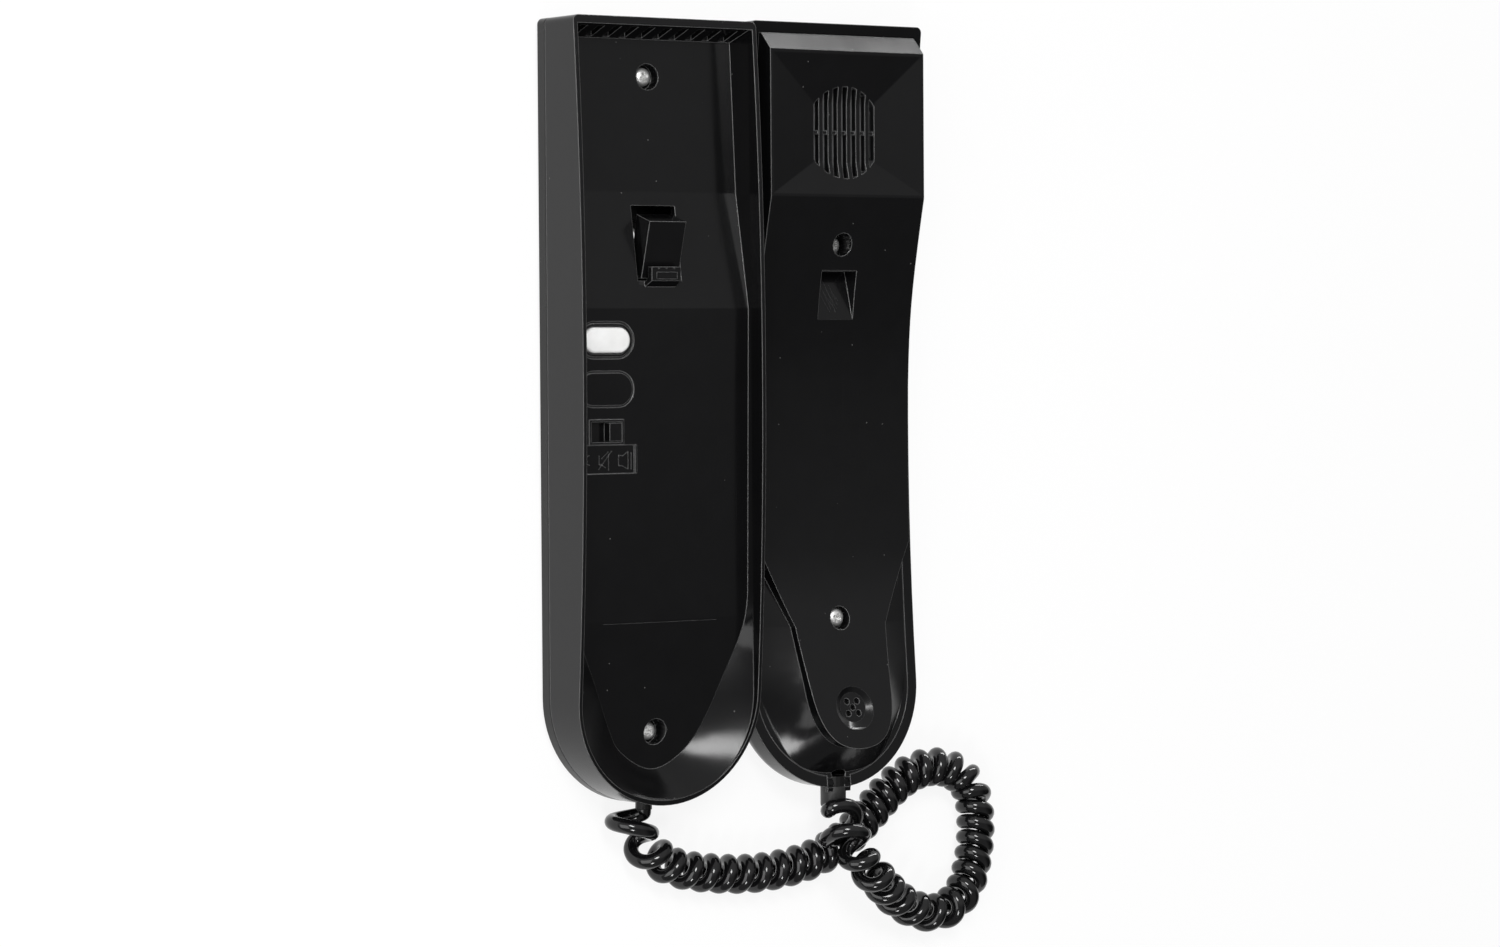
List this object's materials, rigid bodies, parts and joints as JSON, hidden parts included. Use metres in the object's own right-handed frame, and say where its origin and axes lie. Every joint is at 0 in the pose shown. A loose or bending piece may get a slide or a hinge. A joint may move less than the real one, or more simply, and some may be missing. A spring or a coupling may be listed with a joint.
{
  "type": "audio intercom handset",
  "caption": "Wall intercom unit with cradle tray, push button and volume slide, and its corded handset with curly cord lying beside it.",
  "frame": {"origin": "middle of the wall unit on the wall face, which is also the surface the part lies on in the picture", "axes": "+Z out of the wall, +Y towards the ear end, +X towards the handset that lies beside the wall unit"},
  "size_m": [0.1533, 0.2646, 0.0258],
  "materials": {
    "housing_black": "glossy",
    "plate_black": "satin",
    "button_white": "glossy",
    "screw_steel": "zinc plated",
    "cord_black": "glossy",
    "board_green": "satin",
    "switch_grey": "satin",
    "terminal_grey": "satin",
    "ribbon_grey": "satin",
    "bush_rubber": "matt",
    "felt_black": "matt",
    "capsule_metal": "satin",
    "weight_steel": "dull"
  },
  "bodies": {
    "base": {"wall_plate": "plate_black", "front_cover": "housing_black", "cover_screws": "screw_steel", "circuit_board": "board_green", "board_screws": "screw_steel", "terminal_block": "terminal_grey", "terminal_screws": "screw_steel", "ribbon_cable": "ribbon_grey", "sounder": "switch_grey", "hook_pin": "screw_steel", "hook_spring": "screw_steel", "hook_switch": "switch_grey", "door_switch": "switch_grey", "volume_switch": "switch_grey", "base_grommet": "bush_rubber", "curly_cord": "cord_black"},
    "lever": {"hook_lever": "housing_black"},
    "button": {"door_button": "button_white", "door_switch_plunger": "button_white"},
    "slider": {"volume_knob": "housing_black"},
    "handset": {"handset_inner_shell": "housing_black", "handset_outer_shell": "housing_black", "handset_screws": "screw_steel", "earpiece": "capsule_metal", "earpiece_ring": "felt_black", "microphone": "felt_black", "microphone_boot": "bush_rubber", "balance_weight": "weight_steel", "handset_grommet": "bush_rubber"}
  },
  "joints": [
    {"name": "cradle_hook", "type": "hinge", "parent": "base", "child": "lever", "pos_m": [0, 0.03597, 0.012], "axis": [-1, 0, 0], "range_deg": [0, 10], "stiffness_Nm_per_rad": 0.06, "springref_deg": -20.05, "deforming": ["hook_spring"]},
    {"name": "door_button_press", "type": "slide", "parent": "base", "child": "button", "axis": [0, 0, -1], "range_m": [0, 0.0015], "stiffness_N_per_m": 600, "springref_m": -0.0015},
    {"name": "volume_slide", "type": "slide", "parent": "base", "child": "slider", "axis": [-1, 0, 0], "range_m": [0, 0.005]},
    {"name": "handset_lift", "type": "slide", "parent": "base", "child": "handset", "axis": [0, 0, 1], "range_m": [0, 0.25], "deforming": ["curly_cord"]}
  ]
}
